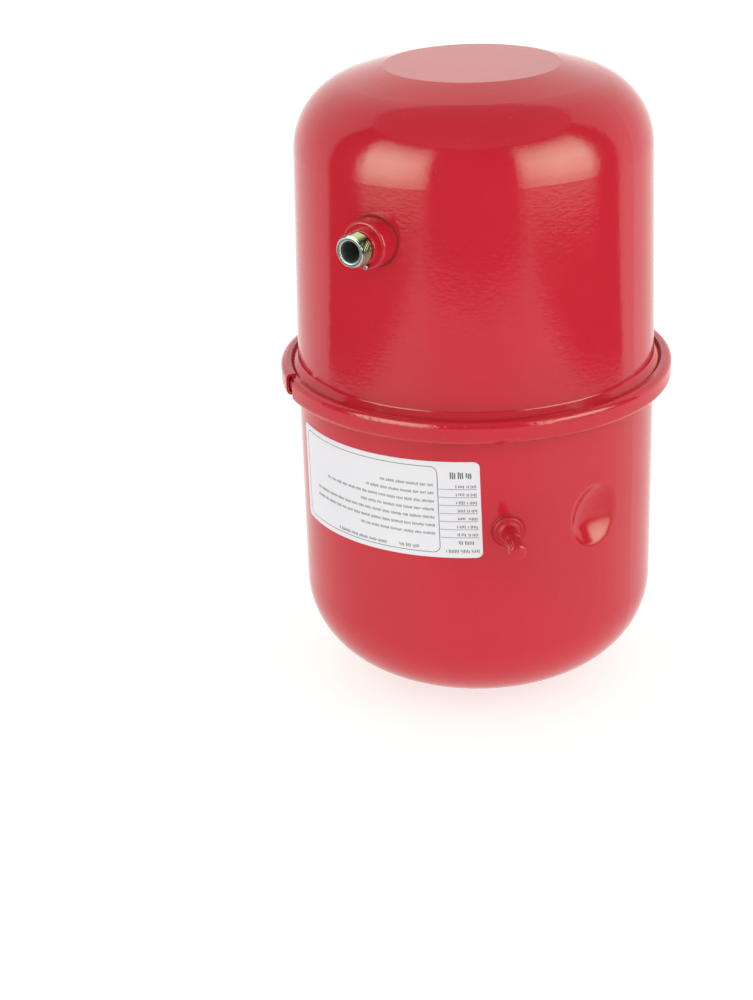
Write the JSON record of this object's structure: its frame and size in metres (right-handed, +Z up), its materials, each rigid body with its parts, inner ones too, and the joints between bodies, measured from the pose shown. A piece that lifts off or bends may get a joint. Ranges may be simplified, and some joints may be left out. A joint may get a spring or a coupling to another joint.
{
  "type": "expansion vessel",
  "caption": "Steel expansion vessel: two clenched shells with an inner diaphragm, a threaded side water connection and a capped side inflation valve.",
  "frame": {"origin": "centre of the flat foot under the gas-side shell, on the vessel's axis", "axes": "+Z up along the vessel's axis; -Y along the water connection, pointing out of the vessel"},
  "size_m": [0.2142, 0.2249, 0.3443],
  "materials": {
    "red_paint": "glossy",
    "zinc": "zinc plated, satin",
    "rubber": "matte",
    "brass": "turned",
    "seal_plastic": "matte",
    "spring_steel": "drawn wire",
    "label": "semi-gloss film"
  },
  "bodies": {
    "vessel": {"upper_shell": "red_paint", "lower_shell": "red_paint", "clench_ring": "red_paint", "water_boss": "red_paint", "boss_weld": "red_paint", "water_nozzle": "zinc", "locating_pin": "zinc", "valve_stem": "red_paint", "valve_weld": "red_paint", "core_plug": "brass", "core_barrel": "brass", "core_barrel_seal": "seal_plastic", "core_spring": "spring_steel", "rating_label": "label"},
    "membrane": {"diaphragm": "rubber"},
    "valve_pin": {"core_pin": "brass", "core_poppet": "brass", "core_poppet_seal": "rubber"},
    "cap_seal": {"valve_cap_seal": "rubber"},
    "cap": {"valve_cap": "red_paint"}
  },
  "joints": [
    {"name": "membrane_stroke", "type": "slide", "parent": "vessel", "child": "membrane", "axis": [0, 0, -1], "range_m": [0, 0.1], "stiffness_N_per_m": 60, "springref_m": -0.05, "deforming": ["diaphragm"]},
    {"name": "pin_press", "type": "slide", "parent": "vessel", "child": "valve_pin", "axis": [-0.6521, 0.7581, 0], "range_m": [0, 0.0012], "stiffness_N_per_m": 1500, "springref_m": -0.001, "deforming": ["core_spring"]},
    {"name": "cap_lift", "type": "slide", "parent": "vessel", "child": "cap_seal", "axis": [0.6521, -0.7581, 0], "range_m": [0, 0.01349]},
    {"name": "cap_turn", "type": "hinge", "parent": "cap_seal", "child": "cap", "pos_m": [0.07564, -0.08794, 0.121], "axis": [0.6521, -0.7581, 0], "range_deg": [0, 6120]}
  ],
  "couplings": [
    {"joint": "cap_turn", "follows": "cap_lift", "rad_per_m": 7915.8}
  ]
}
